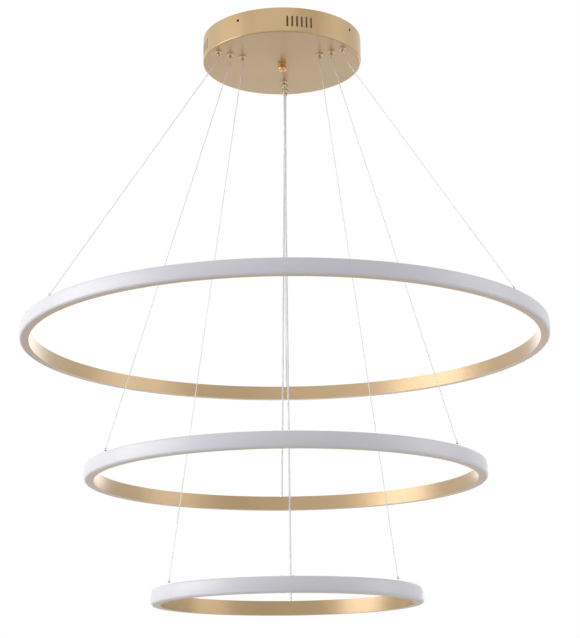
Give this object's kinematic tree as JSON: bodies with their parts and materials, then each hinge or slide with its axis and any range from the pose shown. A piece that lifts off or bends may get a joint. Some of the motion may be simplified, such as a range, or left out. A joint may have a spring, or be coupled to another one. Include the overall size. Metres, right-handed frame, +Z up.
{
  "type": "led ring chandelier",
  "caption": "Tiered ring chandelier: level light rings with white outer diffusers hang on steel wires and clear power cords from a drum canopy with wire grippers and a brass finial",
  "frame": {"origin": "middle of the canopy's rim, on the ceiling", "axes": "+Z up; -Y is the front, the side the picture shows; +X to the right of it"},
  "size_m": [0.7998, 0.7998, 0.889],
  "materials": {
    "champagne_paint": "satin",
    "brass": "polished",
    "nickel": "polished",
    "zinc_steel": "satin",
    "black_steel": "matt",
    "wire_steel": "satin",
    "gold_aluminium": "satin anodised",
    "opal_diffuser": "soft gloss",
    "led_board": "matt",
    "clear_cord": "gloss",
    "driver_plastic": "matt",
    "circuit_board": "matt",
    "components": "matt",
    "block_plastic": "matt",
    "lead_sheath": "matt",
    "inner_cord": "gloss"
  },
  "bodies": {
    "canopy": {"canopy_cup": "champagne_paint", "mounting_bar_upper": "zinc_steel", "mounting_bar_lower": "zinc_steel", "bar_rivets": "zinc_steel", "side_screws": "black_steel", "centre_stud": "zinc_steel", "stud_nut": "zinc_steel", "earth_screw": "brass", "gripper_sleeves": "brass", "gripper_springs": "zinc_steel", "gripper_lock_nuts": "nickel", "cord_glands": "brass", "gland_caps": "brass", "driver_case": "driver_plastic", "driver_lid": "driver_plastic", "driver_board": "circuit_board", "driver_components": "components", "terminal_block": "block_plastic", "terminal_screws": "brass", "driver_input_leads": "lead_sheath", "driver_output_leads": "inner_cord", "large_wire_left": "wire_steel", "large_wire_right": "wire_steel", "medium_wire_left": "wire_steel", "medium_wire_right": "wire_steel", "small_wire_left": "wire_steel", "small_wire_right": "wire_steel", "large_power_cord": "clear_cord", "medium_power_cord": "clear_cord", "small_power_cord": "clear_cord"},
    "large_ring": {"large_channel": "gold_aluminium", "large_diffuser": "opal_diffuser", "large_led_strip": "led_board", "large_splice_plate": "zinc_steel", "large_splice_screws": "zinc_steel", "large_wire_anchors": "brass", "large_cord_inlet": "brass"},
    "medium_ring": {"medium_channel": "gold_aluminium", "medium_diffuser": "opal_diffuser", "medium_led_strip": "led_board", "medium_splice_plate": "zinc_steel", "medium_splice_screws": "zinc_steel", "medium_wire_anchors": "brass", "medium_cord_inlet": "brass"},
    "small_ring": {"small_channel": "gold_aluminium", "small_diffuser": "opal_diffuser", "small_led_strip": "led_board", "small_splice_plate": "zinc_steel", "small_splice_screws": "zinc_steel", "small_wire_anchors": "brass", "small_cord_inlet": "brass"},
    "release_nipple_large_left": {"release_nipple_large_left": "brass"},
    "release_nipple_large_right": {"release_nipple_large_right": "brass"},
    "release_nipple_medium_left": {"release_nipple_medium_left": "brass"},
    "release_nipple_medium_right": {"release_nipple_medium_right": "brass"},
    "release_nipple_small_left": {"release_nipple_small_left": "brass"},
    "release_nipple_small_right": {"release_nipple_small_right": "brass"},
    "finial_seat": {"finial_washer": "brass"},
    "finial": {"finial_nut": "brass"}
  },
  "joints": [
    {"name": "large_ring_height", "type": "slide", "parent": "canopy", "child": "large_ring", "axis": [0, 0, 1], "range_m": [0, 0.25], "deforming": ["large_wire_left", "large_wire_right", "large_power_cord"]},
    {"name": "medium_ring_height", "type": "slide", "parent": "canopy", "child": "medium_ring", "axis": [0, 0, 1], "range_m": [0, 0.3], "deforming": ["medium_wire_left", "medium_wire_right", "medium_power_cord"]},
    {"name": "small_ring_height", "type": "slide", "parent": "canopy", "child": "small_ring", "axis": [0, 0, 1], "range_m": [0, 0.4], "deforming": ["small_wire_left", "small_wire_right", "small_power_cord"]},
    {"name": "nipple_press_large_left", "type": "slide", "parent": "canopy", "child": "release_nipple_large_left", "axis": [0, 0, 1], "range_m": [0, 0.002], "stiffness_N_per_m": 400, "deforming": ["gripper_springs"]},
    {"name": "nipple_press_large_right", "type": "slide", "parent": "canopy", "child": "release_nipple_large_right", "axis": [0, 0, 1], "range_m": [0, 0.002], "stiffness_N_per_m": 400, "deforming": ["gripper_springs"]},
    {"name": "nipple_press_medium_left", "type": "slide", "parent": "canopy", "child": "release_nipple_medium_left", "axis": [0, 0, 1], "range_m": [0, 0.002], "stiffness_N_per_m": 400, "deforming": ["gripper_springs"]},
    {"name": "nipple_press_medium_right", "type": "slide", "parent": "canopy", "child": "release_nipple_medium_right", "axis": [0, 0, 1], "range_m": [0, 0.002], "stiffness_N_per_m": 400, "deforming": ["gripper_springs"]},
    {"name": "nipple_press_small_left", "type": "slide", "parent": "canopy", "child": "release_nipple_small_left", "axis": [0, 0, 1], "range_m": [0, 0.002], "stiffness_N_per_m": 400, "deforming": ["gripper_springs"]},
    {"name": "nipple_press_small_right", "type": "slide", "parent": "canopy", "child": "release_nipple_small_right", "axis": [0, 0, 1], "range_m": [0, 0.002], "stiffness_N_per_m": 400, "deforming": ["gripper_springs"]},
    {"name": "finial_drop", "type": "slide", "parent": "canopy", "child": "finial_seat", "axis": [0, 0, 1], "range_m": [-0.004, 0]},
    {"name": "finial_turn", "type": "hinge", "parent": "finial_seat", "child": "finial", "pos_m": [0, 0, -0.05], "axis": [0, 0, 1], "range_deg": [-1440, 0]}
  ],
  "couplings": [
    {"joint": "finial_turn", "follows": "finial_drop", "rad_per_m": 6283.2}
  ]
}
